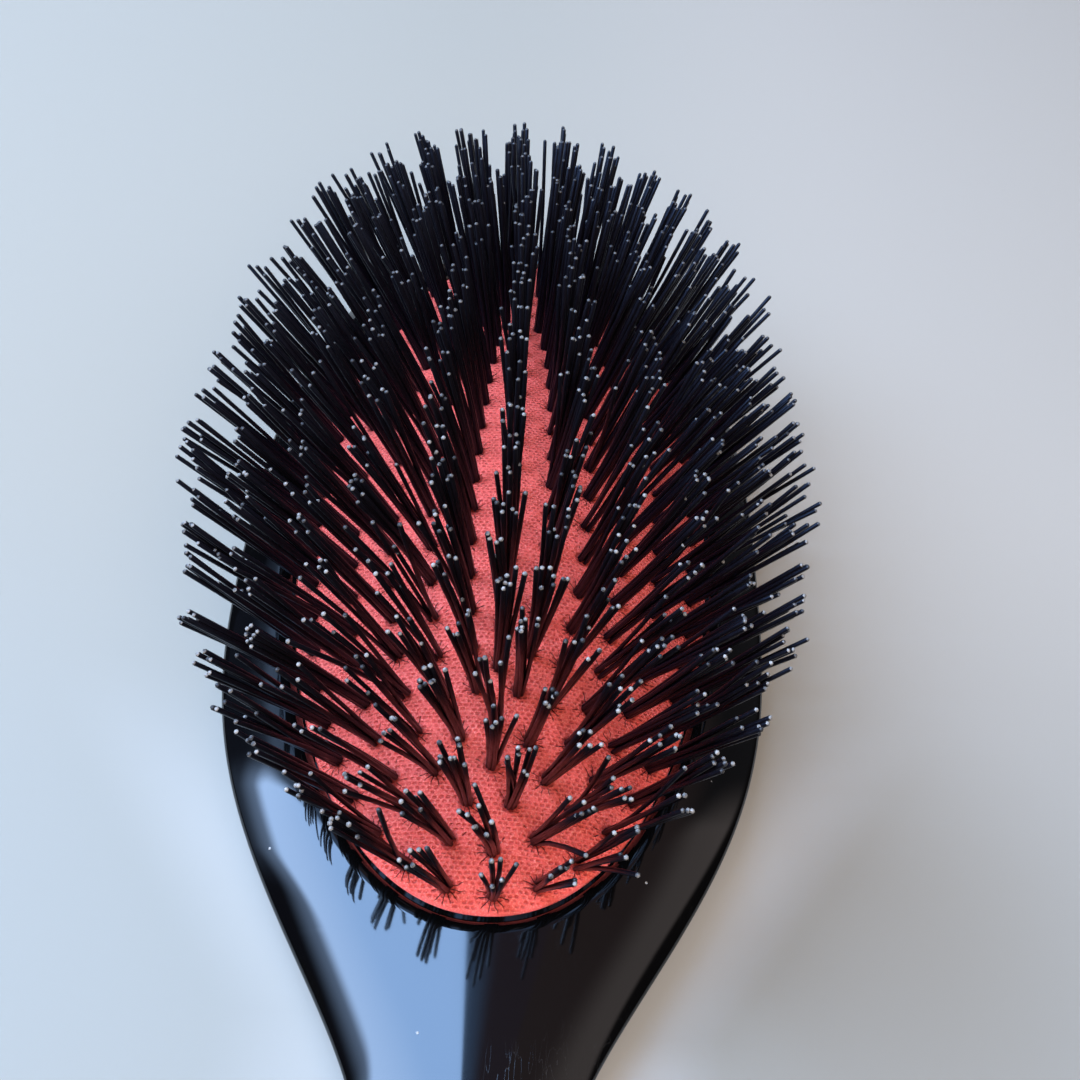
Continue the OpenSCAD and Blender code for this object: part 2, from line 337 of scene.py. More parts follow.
# the pale threads are a painted highlight, and the darker reds in the pits and round the holes are
# painted shade
CORAL, PALE_CORAL, THREAD_HIGHLIGHT = (0.82, 0.092, 0.081), (0.89, 0.136, 0.118), (0.98, 0.25, 0.21)
PIT_SHADE, HOLE_RIM_SHADE, IN_CRACK = (0.47, 0.026, 0.027), (0.20, 0.012, 0.012), (0.035, 0.004, 0.004)


def paint_cushion(c):
    """Coral, with staggered pits in painted shade, pale grain as a painted highlight, painted shade
    round the holes, and cracks.
    """
    at = c.place()
    wander = c.noise(at, 0.35, 2.0) + c.noise(at, 2.0, 1.0) * 0.8
    x, y, z = at.split()
    row = y / ROW_GAP + wander * 0.5
    brick = x / THREAD_GAP + wander * 0.5 + c.math("FLOOR", row) * 0.5
    across, along = c.math("FRACT", brick) * 2 - 1, c.math("FRACT", row) * 2 - 1
    grain = c.noise(at, 6.0, 3.0)
    pit = abs(across).step(0.92, 0.28) * abs(along).step(0.85, 0.15)
    on_face = z.step(EDGE_Z + 0.05, EDGE_Z + 0.25)  # the bead and the edge are smooth
    pit = pit * c.noise(at, 1.7, 2.0).step(0.25, 0.65) * on_face
    hole_x, hole_y, reach = c.value("from_hole", "Vector").split()
    shake = c.noise(at, 1.1, 3.0) * 1.3
    spoke = c.math("SINE", c.math("ARCTAN2", hole_y, hole_x) * SPOKES + shake * 2)
    crack = (abs(spoke) * reach).step(*CRACK_WIDE) * (reach + shake * 0.6).step(*CRACK_END)
    crack = crack * c.noise(at, 0.45, 1.0).step(0.46, 0.56)
    # painted shade round the rim of each hole, where a tuft goes in
    ring = reach.step(*HOLE_RIM)
    coral = c.noise(at, 0.09, 3.0).mix(CORAL, PALE_CORAL)
    # the pits' darker red is painted shade, and the pale random threads are a painted highlight
    cloth = (pit * 0.54).mix(grain.step(0.48, 0.72).mix(coral, THREAD_HIGHLIGHT), PIT_SHADE)
    return {
        "Base Color": (crack * 0.9).mix((ring * 0.6).mix(cloth, HOLE_RIM_SHADE), IN_CRACK),
        "Roughness": 0.50 + grain * 0.16 + pit * 0.12,
        "Normal": c.relief(grain * 0.3 - pit - crack * 1.2, 1.0, 0.00017),
    }


coral_cloth = new_finish("coral_rubbered_cloth",
                         {"IOR": 1.5, "Specular IOR Level": 0.2}, paint_cushion)

# %% [markdown]
# ## Bristle nylon and its cut ends
# The bristles are black nylon, drawn out with fine streaks along them. Their
# ends were cut and ground round, which leaves them milky, and that is what
# sparkles all over the brush. A strand carries the attribute along, 0 at the
# hole and 1 at a tip, so that its finish can differ near the root.

# %% Finishes of the bristles
# the root's bluish tint is a painted sheen
NYLON, PALE_NYLON, ROOT_SHEEN = (0.0020, 0.0018, 0.0032), (0.0065, 0.0055, 0.0085), (0.004, 0.003, 0.007)
DARK_END, MILKY_END = (0.026, 0.026, 0.030), (0.33, 0.33, 0.35)
DIM_TOWARD_TIP = (10, 85)  # the ends grow darker from here to here, toward the tip of the head


def paint_bristle(c):
    """Black with fine streaks along it, and a bluish tint near the root that is a painted sheen."""
    streak = c.noise(c.place((3.0, 3.0, 0.25)), 1.0, 2.0)
    # painted sheen: a bluish tint toward the root
    root = c.value("along").step(0.9, 0.0)
    return {
        "Base Color": root.mix(streak.mix(NYLON, PALE_NYLON), ROOT_SHEEN),
        "Roughness": 0.26 + streak * 0.20,
        "Normal": c.relief(streak, 0.3, 0.00004),
    }


def paint_ends(c):
    """Milky in patches, and darker toward the tip of the head."""
    grain = c.noise(c.place(), 1.1, 2.0)
    toward_tip = c.place().split()[1].step(*DIM_TOWARD_TIP)
    return {
        "Base Color": (grain.step(0.38, 0.68) * (1 - toward_tip * 0.78)).mix(DARK_END, MILKY_END),
        "Roughness": 0.40 + grain * 0.2,
    }


# The blue Specular Tint paints the bristles' reflections blue, as a painted sheen; real nylon
# reflects them untinted.
black_nylon = new_finish(
    "black_nylon",
    {"IOR": 1.5, "Specular IOR Level": 0.24, "Specular Tint": (0.45, 0.64, 0.94, 1)},
    paint_bristle)
milky_ends = new_finish("milky_cut_ends", {"IOR": 1.53, "Specular IOR Level": 0.3}, paint_ends)

# %% [markdown]
# ## Drawn steel wire
# The anchors are cut from bright drawn wire. Drawing leaves fine lines along
# it and cutting leaves it a little dull, and no one sees them on a whole
# brush, but they are real pieces and get their own finish.

# %% Finish of the anchors
STEEL, PALE_STEEL = (0.50, 0.50, 0.51), (0.66, 0.66, 0.67)


def paint_wire(c):
    """Bright steel with drawn lines and dull patches."""
    lines = c.noise(c.place((12, 12, 12)), 1.0, 3.0)
    dull = c.noise(c.place(), 0.8, 2.0)
    return {
        "Base Color": dull.mix(STEEL, PALE_STEEL),
        "Roughness": 0.28 + dull * 0.25,
        "Normal": c.relief(lines, 0.4, 0.00001),
    }


drawn_wire = new_finish("drawn_steel_wire", {"Metallic": 1.0}, paint_wire)
wires = [n for n in frame["nodes"] if n.startswith("anchors_")]
for n in wires:
    frame["nodes"][n].data.materials.clear()
    frame["nodes"][n].data.materials.append(drawn_wire)
print(len(wires), "groups of anchors keep their packed shape")

# %% [markdown]
# ## The handle
# The handle is one moulding, so it is one closed skin here. Its outline is
# round the head, draws in to the neck and swells at the grip. Ribs run in
# from every point of the outline: over the head they end at the lip of the
# opening, and elsewhere at the middle line. Along a rib the top rises by a
# low arch right across and a second one that rounds its edge, so it meets the
# outline at a slope, and a small rounding there draws the thin bright line
# round the brush. The back falls by a superellipse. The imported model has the
# same shape in flat facets; a finer skin replaces it because facets would
# break up the reflections.

# %% Outline of the handle
HEAD_N, END_N, FLARE = 2.25, 2.5, 1.82  # squareness of the head and the end, and the shoulder's lag


def half_width(y):
    """Half the outline's width at y: a superellipse round the head, a soft
    step of 1 - (1 - t)^1.82 down to the neck, a soft step up to the grip, and
    a superellipse round the end."""
    head = HEAD_W / 2 * np.clip(1 - np.clip(y / TIP_Y, 0, 1) ** HEAD_N, 0, 1) ** (1 / HEAD_N)
    t = np.clip((y - NECK_Y) / (WIDE_Y - NECK_Y), 0, 1)
    shoulder = NECK_W / 2 + (HEAD_W - NECK_W) / 2 * smooth(1 - (1 - t) ** FLARE)
    swell = GRIP_W / 2 - (GRIP_W - NECK_W) / 2 * smooth((y - GRIP_Y) / (NECK_Y - GRIP_Y))
    u = np.clip((GRIP_Y - y) / (GRIP_Y - END_Y), 0, 1)
    end = GRIP_W / 2 * np.clip(1 - u ** END_N, 0, 1) ** (1 / END_N)
    return np.select([y >= WIDE_Y, y >= NECK_Y, y >= GRIP_Y], [head, shoulder, swell], end)


widths = 2 * half_width(np.array([WIDE_Y, NECK_Y, GRIP_Y]))
print("across the head, the neck and the grip:", np.round(widths, 1), "mm")

# %% Heights along the handle and across it
MID_DIP, MID_RISE = 2.2, 0.6  # of the widest line, at the neck and at the grip
NECK_LIFT, NECK_DIP, GRIP_RISE = 1.1, 1.2, 1.8  # of the back under the neck, and of the top
DIP_FROM, DIP_TO, RISE_FROM = 13.0, 4, 10  # after the opening starts, before and after the neck
LIFT_FROM, LIFT_TO, LOWER_FROM, LOWER_TO = 6, 1, 8, 18
BROW, BROW_R = 0.6, 8.0  # share and reach of the arch that rounds the edge
BACK_N, BACK_R, BACK_CORE = 2.2, 15.0, 0.9  # squareness of the back's edge, its longest reach


def to_neck(y):
    """0 at the head, 1 from the neck on."""
    start = DIP_FROM - PAD_B
    return smooth((y - start) / (NECK_Y + DIP_TO - start))


def to_grip(y):
    """0 at the neck, 1 from the grip on."""
    return smooth((y - NECK_Y + RISE_FROM) / (GRIP_Y - NECK_Y + RISE_FROM))


def middle_height(y):
    """Height of the widest line, which dips at the neck."""
    return MID_Z - MID_DIP * to_neck(y) + MID_RISE * to_grip(y)


def top_height(y):
    """Rise from the widest line to the top: less at the neck, more at the grip."""
    return RIM_Z - MID_Z - NECK_DIP * to_neck(y) + (NECK_DIP + GRIP_RISE) * to_grip(y)


def back_depth(y):
    """Fall from the widest line to the back, less under the arched neck."""
    from_head = smooth((y - LIFT_FROM + PAD_B) / (NECK_Y - LIFT_TO + PAD_B))
    by_grip = smooth((y - NECK_Y + LOWER_FROM) / (GRIP_Y - NECK_Y + LOWER_TO))
    return middle_height(y) - NECK_LIFT * (from_head - by_grip)


def bulge(d, reach, n):
    """A superellipse that is 0 at the outline and 1 at its reach: (1 - (1 - d/r)^n)^(1/n)."""
    inside = np.clip(1 - d / reach, 0, 1)
    return (1 - inside ** n) ** (1 / n)


def arch(d, r):
    """A parabola that starts at a slope and is level at r: 1 - (1 - d/r)^2."""
    return 1 - np.clip(1 - d / r, 0, 1) ** 2


def crown(d, reach):
    """Share of the top's height at d in from the outline: two arches added."""
    return (1 - BROW) * arch(d, reach) + BROW * arch(d, np.minimum(BROW_R, reach))


tops = middle_height(np.array([NECK_Y, GRIP_Y])) + top_height(np.array([NECK_Y, GRIP_Y]))
print("top of the neck and of the grip:", np.round(tops, 1), "mm above the table")

# %% [markdown]
# ## Its ribs
# Each rib is a straight line seen from above, from the outline inward. Over
# the tip of the head the ribs point at one centre, SPINE_TOP, so that they
# fan round it. Beside the opening they run square to the brush, and round
# the end of the grip they fan again, about SPINE_END. Only the right side's
# are worked out, from the tip of the head round to the end of the handle.

# %% The right side's ribs
EDGE_R, LIP_R = 0.75, 1.9  # roundings at the outline and at the opening
FAN = 30  # from the tip to the centre of its ribs
SPINE_TOP, SPINE_END = TIP_Y - FAN, END_Y + GRIP_W / 2
HEAD_RIBS, NECK_RIBS, END_RIBS, ARC_POINTS = 221, 121, 49, 4001
turn = np.linspace(90, -90, HEAD_RIBS)
lip = oval(PAD_A + LIP_R, PAD_B + LIP_R, turn)
lip[0, 0] = lip[-1, 0] = 0
quarter = np.linspace(0, np.pi / 2, ARC_POINTS)
tip_arc = np.stack([HEAD_W / 2 * np.cos(quarter) ** (2 / HEAD_N),
                    TIP_Y * np.sin(quarter) ** (2 / HEAD_N)], 1)
tip_arc[-1, 0] = 0
bearing = np.arctan2(tip_arc[:, 1] - SPINE_TOP, tip_arc[:, 0])
want = np.arctan2(lip[:, 1] - SPINE_TOP, lip[:, 0])
round_tip = np.stack([np.interp(want, bearing, tip_arc[:, i]) for i in (0, 1)], 1)
beside = np.stack([half_width(lip[:, 1]), lip[:, 1]], 1)
head_side = np.where((lip[:, 1] > SPINE_TOP)[:, None], round_tip, beside)
quarter = np.linspace(0, np.pi / 2, END_RIBS)[1:]
end_cap = np.stack([GRIP_W / 2 * np.cos(quarter) ** (2 / END_N),
                    GRIP_Y - (GRIP_Y - END_Y) * np.sin(quarter) ** (2 / END_N)], 1)
end_cap[-1, 0] = 0
neck_rows = np.linspace(lip[-1, 1], GRIP_Y, NECK_RIBS)[1:]
neck_side = np.stack([half_width(neck_rows), neck_rows], 1)
right = np.concatenate([head_side, neck_side, end_cap])
spine = np.stack([0 * right[:, 0], np.clip(right[:, 1], SPINE_END, SPINE_TOP)], 1)
top_end = spine.copy()
top_end[: len(lip)] = lip
print(len(right), "ribs on each side, the widest point", round(right[:, 0].max(), 2), "mm out")

# %% [markdown]
# ## Its skin
# The left side has the same ribs with x turned round. Points that are equally
# far along their ribs make a closed ring round the brush, so the skin is a
# grid of rings: up the back from the table, round the edge, and over the top
# to the lip of the opening.

# %% Rings of the skin
def all_round(side):
    """The right side's values, then the left side's from the end back to the tip."""
    left = side[-2:0:-1] * np.array([-1, 1])
    return np.concatenate([side, left])


def along_ribs(start, end, d, z):
    """Points at distances d along ribs from start to end, at heights z."""
    way = (end - start) / np.maximum(np.linalg.norm(end - start, axis=1), 1e-9)[:, None]
    return np.concatenate([start + way * d[..., None], z[..., None]], -1)


outer, spine_all, top_all = all_round(right), all_round(spine), all_round(top_end)
reach = np.maximum(np.linalg.norm(spine_all - outer, axis=1), 1e-6)
span = np.linalg.norm(top_all - outer, axis=1)
middle, rise = middle_height(outer[:, 1]), top_height(outer[:, 1])

EDGE_ROWS, TOP_ROWS, BACK_ROWS = 7, 30, 26
EVEN = 1.4  # above 1, the top's rings lie closer together near the edge

# the rounding at the edge turns from upright until it lies along the crown:
# d = r (1 - cos t), z = r sin t, up to the t whose slope is the crown's
slope = rise * ((1 - BROW) * 2 / reach + BROW * 2 / np.minimum(BROW_R, reach))
meet = np.arctan(1 / slope)
t = np.linspace(0, 1, EDGE_ROWS)[:, None] * meet
first = EDGE_R * (1 - np.cos(meet))
edge_z = middle + rise * crown(first, reach) - EDGE_R * np.sin(meet)
edge_rows = along_ribs(outer, top_all, EDGE_R * (1 - np.cos(t)), edge_z + EDGE_R * np.sin(t))

d = first + (span - first) * np.linspace(0, 1, TOP_ROWS)[1:, None] ** EVEN
crown_rows = along_ribs(outer, top_all, d, middle + rise * crown(d, reach))
top_rows = np.concatenate([edge_rows, crown_rows])
d = reach * (1 - np.cos(np.linspace(0, np.pi / 2, BACK_ROWS)))[:, None]
fall = bulge(d, np.minimum(BACK_R, BACK_CORE * reach), BACK_N)
depth = back_depth(outer[:, 1]) - middle + edge_z
back_rows = along_ribs(outer, spine_all, d, edge_z - depth * fall)
skin = np.concatenate([back_rows[::-1], top_rows[1:]])
rows, cols = skin.shape[:2]
print("the skin has", rows, "rings of", cols, "points")

# %% [markdown]
# ## Its lip and recess
# From the top, rings that go round the opening only roll over the lip, turn
# out into the groove that holds the cushion's bead, come back in over the
# ledge on which the bead rests, and go down the wall of the air chamber to
# its floor. A band of quads joins the two grids and a fan closes the floor.

# %% Rings of the lip and the recess
LIP_ROWS, LIP_START = 6, 15  # rings over the lip, and the angle of the first in degrees
LIP_OVER, GROOVE_OVER, GROOVE, LEDGE_Z = 0.27, 0.25, 1.6, 9.0
WALL_Z, FLOOR_R, FLOOR_RINGS = (7.0, 4.0), (0.6, 0.2), (-0.6, -8, -16)
ring_turn = np.concatenate([turn, 180 - turn[-2:0:-1]])
rim_side = np.concatenate([np.arange(len(lip)), len(outer) - np.arange(len(lip) - 2, 0, -1)])
rim_height = top_rows[-1, rim_side, 2]


def lip_ring(grow, z):
    """The oval grown by a margin, at a height."""
    flat = oval(PAD_A + grow, PAD_B + grow, ring_turn)
    return np.concatenate([flat, np.broadcast_to(z, len(flat))[:, None]], 1)


fillet = np.radians(np.linspace(LIP_START, 90, LIP_ROWS))
lip_rows = [lip_ring(LIP_R * (1 - np.sin(f)), rim_height - LIP_R * (1 - np.cos(f))) for f in fillet]
groove = [(0, EDGE_Z + LIP_OVER), (GROOVE, EDGE_Z + GROOVE_OVER), (GROOVE, LEDGE_Z), (0, LEDGE_Z)]
wall = [(0, z) for z in WALL_Z] + [(0, FLOOR_Z + FLOOR_R[0]), (-FLOOR_R[1], FLOOR_Z + FLOOR_R[1])]
floor = [(grow, FLOOR_Z) for grow in FLOOR_RINGS]
inside = np.array(lip_rows + [lip_ring(grow, z) for grow, z in groove + wall + floor])
deep, round_count = inside.shape[:2]
print("the lip and the recess have", deep, "rings of", round_count, "points")

# %% The handle as one closed piece
start = rows * cols
ids = np.arange(round_count)
top_ids, first_ids = (rows - 1) * cols + rim_side, start + ids
bridge = np.stack([top_ids, np.roll(top_ids, -1), np.roll(first_ids, -1), first_ids], -1)
fan_ids, hub = start + (deep - 1) * round_count + ids, start + deep * round_count
fan = np.stack([fan_ids, np.roll(fan_ids, -1), np.full(round_count, hub)], -1)
points = np.concatenate([skin.reshape(-1, 3), inside.reshape(-1, 3), [[0.0, 0.0, FLOOR_Z]]])
faces = [grid_quads(rows, cols), bridge, grid_quads(deep, round_count, start), fan]
handle = make_piece("handle_moulding", points, faces, [gloss_black])
close_shell(handle)
handle.data.set_sharp_from_angle(angle=np.radians(50))
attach(handle, "body")
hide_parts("handle")

# %% [markdown]
# ## The cushion and the rows of tufts
# The cushion is a sheet held by a bead in a groove, blown up into a dome by
# the air under it: z = edge + h (1 - r^2)^1.1, where r is 0 at the crown and
# 1 at the opening. The tufts stand in a centre row and five ovals round it,
# evenly spaced along each oval, each square to the dome.

# %% The dome
def dome_z(x, y):
    """Height of the dome over (x, y)."""
    r = (np.abs(x / PAD_A) ** OVAL_N + np.abs(y / PAD_B) ** OVAL_N) ** (1 / OVAL_N)
    return EDGE_Z + DOME_H * np.clip(1 - r * r, 0, 1) ** DOME_N


def dome_up(x, y, d=0.02):
    """Direction out of the dome, from its slopes: (-dz/dx, -dz/dy, 1)."""
    v = np.stack([-(dome_z(x + d, y) - dome_z(x - d, y)) / (2 * d),
                  -(dome_z(x, y + d) - dome_z(x, y - d)) / (2 * d), np.ones_like(x)], -1)
    return v / np.linalg.norm(v, axis=-1, keepdims=True)


print(f"the crown of the dome is {dome_z(0, 0):.1f} mm above the table")

# %% The rows of tufts
ROWS, EDGE_GAP, END_GAP = 5, 2.1, 4.1  # ovals, the gap at the sides, the step at the ends
# A row is cut into groups at these shares of its half length, so that the
# tufts of one group sink alike. A row starts this part of a step further round.
CUTS = [[0.65], [0.55, 0.81], [0.57, 0.84], [0.67], [0.71], [0.71]]
STARTS = [0, 0, 0, 0.5, 0.17, 0.25]
row_half = [PAD_B - EDGE_GAP - (ROWS - k) * END_GAP for k in range(ROWS + 1)]
row_half[0] = row_half[1] - 1.5 * END_GAP
FINE = 240  # straight pieces that stand for an oval when its length is measured


def row_of_tufts(k):
    """Feet of row k: even steps of arc length along its oval, or along the middle."""
    if k == 0:
        count = 2 * round(row_half[0] / TUFT_PITCH)
        return np.stack([np.zeros(count + 1), row_half[0] * np.linspace(-1, 1, count + 1)], 1)
    fine_turn = -90 + np.arange(FINE) * (360 / FINE)
    fine = oval(k * (PAD_A - EDGE_GAP) / ROWS, row_half[k], fine_turn)
    loop = np.concatenate([fine, fine[:1]])
    run = np.concatenate([[0], np.cumsum(np.linalg.norm(np.diff(loop, axis=0), axis=1))])
    count = 2 * round(run[-1] / TUFT_PITCH / 2)
    at = (np.arange(count) + STARTS[k]) * run[-1] / count
    return np.stack([np.interp(at, run, loop[:, i]) for i in (0, 1)], 1)


feet = {}
for k in range(ROWS + 1):
    row = row_of_tufts(k)
    share = np.abs(row[:, 1]) / row_half[k]
    part = (share[:, None] > np.array(CUTS[k])).sum(1)
    names = ("mid", "bend", "end") if len(CUTS[k]) == 2 else ("mid", "end")
    for i, word in enumerate(names):
        feet[f"r{k}_{word}"] = row[part == i]
every_foot = np.concatenate(list(feet.values()))
print(len(every_foot), "tufts in", len(feet), "groups")

# %% [markdown]
# ## Dimples and the sheet
# Between its tufts the sheet swells a little, and each tuft's anchor holds it
# down in a small dimple. Those dimples are real shape, so they are in the
# mesh, which is fine enough for them. The weave is far finer and stays in
# the finish. The sheet is a grid of ovals again: out over its face, round its
# bead, and back in along its underside.

# %% Dimples and the way from the nearest hole
DIP, DIP_R, COLLAR, COLLAR_AT, COLLAR_R = 0.32, 0.95, 0.10, 1.8, 0.7
FAR_OFF, OUT_OF_REACH = 99.0, 9.0


def dimples(x, y):
    """A dip at each tuft in a low collar. Also the way from the nearest tuft in
    x and y, and how far that is."""
    height, nearest = np.zeros_like(x), np.full(x.shape, FAR_OFF)
    way = np.zeros(x.shape + (3,))
    for fx, fy in every_foot:
        dx, dy = x - fx, y - fy
        r = np.hypot(dx, dy)
        height += -DIP * bump(r, DIP_R) + COLLAR * bump(r - COLLAR_AT, COLLAR_R)
        closer = r < nearest
        nearest = np.where(closer, r, nearest)
        way[closer] = np.stack([dx, dy, r], -1)[closer]
    return height, way


AROUND, FACE_ROWS, NEAR_EDGE, FADE = 480, 136, 0.996, 12
around = np.arange(AROUND) * (360 / AROUND)
share = np.concatenate([np.linspace(0, 1, FACE_ROWS)[1:-1], [NEAR_EDGE, 1.0]])
flat = oval(PAD_A, PAD_B, around)[None] * share[:, None, None]
x, y = flat[..., 0], flat[..., 1]
dip, way = dimples(x, y)
flat_edge = smooth((1 - share[:, None]) * FADE)  # the dimples fade in the outer twelfth
face = np.stack([x, y, dome_z(x, y) + dip * flat_edge], -1)
print(f"the face lies {dip.min():.2f} to {dip.max():.2f} mm from a plain dome")

# %% Edge and underside
BEAD, CORNER, UNDER_IN, UNDER_ROWS = 1.35, 0.15, -0.35, 22
UNDER_Z = EDGE_Z - PAD_T


def sheet_ring(grow, z, k=1.0):
    """A ring of the sheet's edge, or at share k of the way out under the dome."""
    flat = oval(PAD_A + grow, PAD_B + grow, around) * k
    z = z + DOME_H * max(1 - k * k, 0) ** DOME_N
    return np.stack([flat[:, 0], flat[:, 1], np.full(len(flat), z)], -1)


bead = [(BEAD - CORNER, EDGE_Z), (BEAD, EDGE_Z - CORNER),
        (BEAD, UNDER_Z + CORNER), (BEAD - CORNER, UNDER_Z)]
edge = [sheet_ring(grow, z) for grow, z in bead]
shares = np.sin(np.radians(np.linspace(90, 4, UNDER_ROWS)))  # close together near the edge
under = [sheet_ring(UNDER_IN, UNDER_Z, k) for k in shares]
sheet = np.concatenate([face, edge, under])
n_rows, n_cols = sheet.shape[:2]
print("the sheet has", n_rows, "rings of", n_cols, "points")

# %% The cushion as one closed piece
crown_dip, crown_way = dimples(np.zeros(1), np.zeros(1))
poles = np.array([[0, 0, EDGE_Z + DOME_H + crown_dip[0]], [0, 0, UNDER_Z + DOME_H]])
ids, top_pole = np.arange(n_cols), n_rows * n_cols
last = (n_rows - 1) * n_cols
caps = [np.stack([np.roll(ids, -1), ids, np.full(n_cols, top_pole)], -1),
        np.stack([last + ids, last + np.roll(ids, -1), np.full(n_cols, top_pole + 1)], -1)]
cushion = make_piece("cushion_sheet", np.concatenate([sheet.reshape(-1, 3), poles]),
                     [grid_quads(n_rows, n_cols), *caps], [coral_cloth])
holes = np.full((len(cushion.data.vertices), 3), OUT_OF_REACH)  # the edge and the underside
holes[: way.reshape(-1, 3).shape[0]] = way.reshape(-1, 3)
holes[-2] = crown_way[0]
mark_points(cushion, "from_hole", holes)
close_shell(cushion)
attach(cushion, "body")
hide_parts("cushion")
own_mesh(cushion)

# %% [markdown]
# ## The bristles
# A tuft is made as a brush maker makes it: three or four thick strands are
# folded in half over the anchor wire and pulled up through one hole, which
# gives six or eight bristles. Each strand is one tube carried along one
# path: down from one tip, through the hole, under the wire, and up to the
# other tip. Every bristle leans, bends and ends a little differently, and
# that is what makes the brush look real. There are hundreds of them, so a
# tube has six sides and eleven rings, and a smaller ring at each rounded end.

# %% Sizes and chances of the strands
WIRE_Z, WIRE_R = -1.97, 0.27  # the anchor, in its tuft's own axes
FOLD_X, FOLD_DROP, STRAND_STEP, BASE_Z = 0.50, 0.24, 0.34, 0.3  # round the wire, along it, up
LEVELS = np.array([1.0, 0.62, 0.28, 0.0])  # shares of the length at which a bristle has a ring
SIDE_A, SIDE_B = [118, 165, 213, 262], [298, 345, 33, 80]  # degrees round the hole
FOOT_R, FOOT_SHAKE, TUFT_TURN = 0.46, 0.03, 0.35  # how far out, its error, turn of a tuft
SPREAD, TUFT_LEAN, OWN_LEAN, BEND = (2.0, 0.24), 0.45, 0.22, 0.14  # at the tips
STRAY, STRAY_LEAN, STRAY_BEND = 0.08, 0.95, 0.15  # share of strays, and how far they go
SPARE, UNEVEN, SHORT, SHORTEST = 0.6, 0.30, 1.5, 7.0  # millimetres of length
FOURTH, THIN, THICK = 0.62, 0.235, 0.27  # share of tufts with four strands, and radii
COMBED, COMB_N = np.array([-0.072, 0.0, 0.0]), 1.3  # use has combed the bristles this way
LONGER, LONG_FROM, LONG_OVER = 0.07, 12, 30  # by this share, toward the tip of the head
chance = np.random.default_rng(11)
print("a bristle is", BRISTLE_LEN, "mm long and", 2 * THIN, "to", 2 * THICK, "mm thick")


# %% Paths of the strands
def tuft_axes(foot):
    """Foot on the dome and the tuft's own x (downhill), y (level) and z (outward)."""
    up = dome_up(foot[:, 0], foot[:, 1])
    bearing = np.arctan2(up[:, 1], up[:, 0])
    level = np.stack([-np.sin(bearing), np.cos(bearing), 0 * bearing], -1)
    base = np.stack([foot[:, 0], foot[:, 1], dome_z(foot[:, 0], foot[:, 1])], -1)
    return base, np.stack([np.cross(level, up), level, up], -1)


def strand_paths(count):
    """For count tufts, paths of 4 strands in the tuft's own axes, (count, 4, 11, 3).
    A bristle at share s of its length sits at foot + lean s^1.25 + bend s^2."""
    one, two = (count, 4, 1, 1), (count, 4, 1, 2)  # a number or an (x, y) for each strand
    turn = chance.uniform(-TUFT_TURN, TUFT_TURN, (count, 1))
    whole = chance.normal(0, TUFT_LEAN, (count, 1, 1, 2))
    s = LEVELS[:, None]
    ends = []
    for side in (np.radians(SIDE_A) + turn, np.radians(SIDE_B) + turn):
        foot = FOOT_R * np.stack([np.cos(side), np.sin(side)], -1)[:, :, None, :]
        foot = foot + chance.normal(0, FOOT_SHAKE, foot.shape)
        lean = foot / FOOT_R * chance.gamma(*SPREAD, one) + whole + chance.normal(0, OWN_LEAN, two)
        astray = (chance.random(one) < STRAY) * chance.normal(0, STRAY_LEAN, two)
        bend = chance.normal(0, BEND, two) + STRAY_BEND * astray
        short = np.minimum(chance.exponential(SHORT, one), SHORTEST)
        length = BRISTLE_LEN + SPARE + chance.normal(0, UNEVEN, one) - short
        flat = foot + (lean + astray) * s ** 1.25 + bend * s * s
        z = BASE_Z + (length - BASE_Z) * s + 0 * flat[..., :1]
        ends.append(np.concatenate([flat, z], -1))
    slot = (np.arange(4) - 1.5)[None, :, None] * STRAND_STEP * np.array([0, 1, 0])
    fold = []
    for x, z in ((-FOLD_X, WIRE_Z), (0.0, WIRE_Z - WIRE_R - FOLD_DROP), (FOLD_X, WIRE_Z)):
        fold.append(np.broadcast_to(slot + np.array([x, 0, z]), (count, 4, 3))[:, :, None, :])
    return np.concatenate([ends[0], *fold, ends[1][:, :, ::-1]], 2)


# %% [markdown]
# ## From a path to a tube
# A tube needs a pair of directions across its path at every ring. The path
# never runs along its tuft's level direction, so that one direction, made
# square to the path, serves as the first of the pair all the way along.

# %% Tubes along the strands
SIDES = 6
END_IN, END_OUT, POLE_OUT = 0.62, 0.55, 0.75  # of the radius: the end's small ring and its pole


def tubes(path, level, radius):
    """Rings round paths (m, 11, 3), with a small ring and a pole beyond each tip:
    path + radius (first cos(angle) + second sin(angle))."""
    ahead = np.gradient(path, axis=1)
    ahead /= np.linalg.norm(ahead, axis=2, keepdims=True)
    first = level[:, None, :] - ahead * (ahead * level[:, None, :]).sum(2, keepdims=True)
    first /= np.linalg.norm(first, axis=2, keepdims=True)
    second = np.cross(ahead, first)
    angle = np.arange(SIDES) * 2 * np.pi / SIDES
    spoke = first[:, :, None] * np.cos(angle)[:, None] + second[:, :, None] * np.sin(angle)[:, None]
    tube = path[:, :, None] + spoke * radius[:, None, None, None]
    tip_a, tip_b = -ahead[:, 0] * radius[:, None], ahead[:, -1] * radius[:, None]
    small = (END_IN * radius)[:, None, None, None]
    cap_a = path[:, :1, None] + spoke[:, :1] * small + END_OUT * tip_a[:, None, None]
    cap_b = path[:, -1:, None] + spoke[:, -1:] * small + END_OUT * tip_b[:, None, None]
    rings = np.concatenate([cap_a, tube, cap_b], 1)
    poles = np.stack([path[:, 0] + POLE_OUT * tip_a, path[:, -1] + POLE_OUT * tip_b], 1)
    return rings, poles


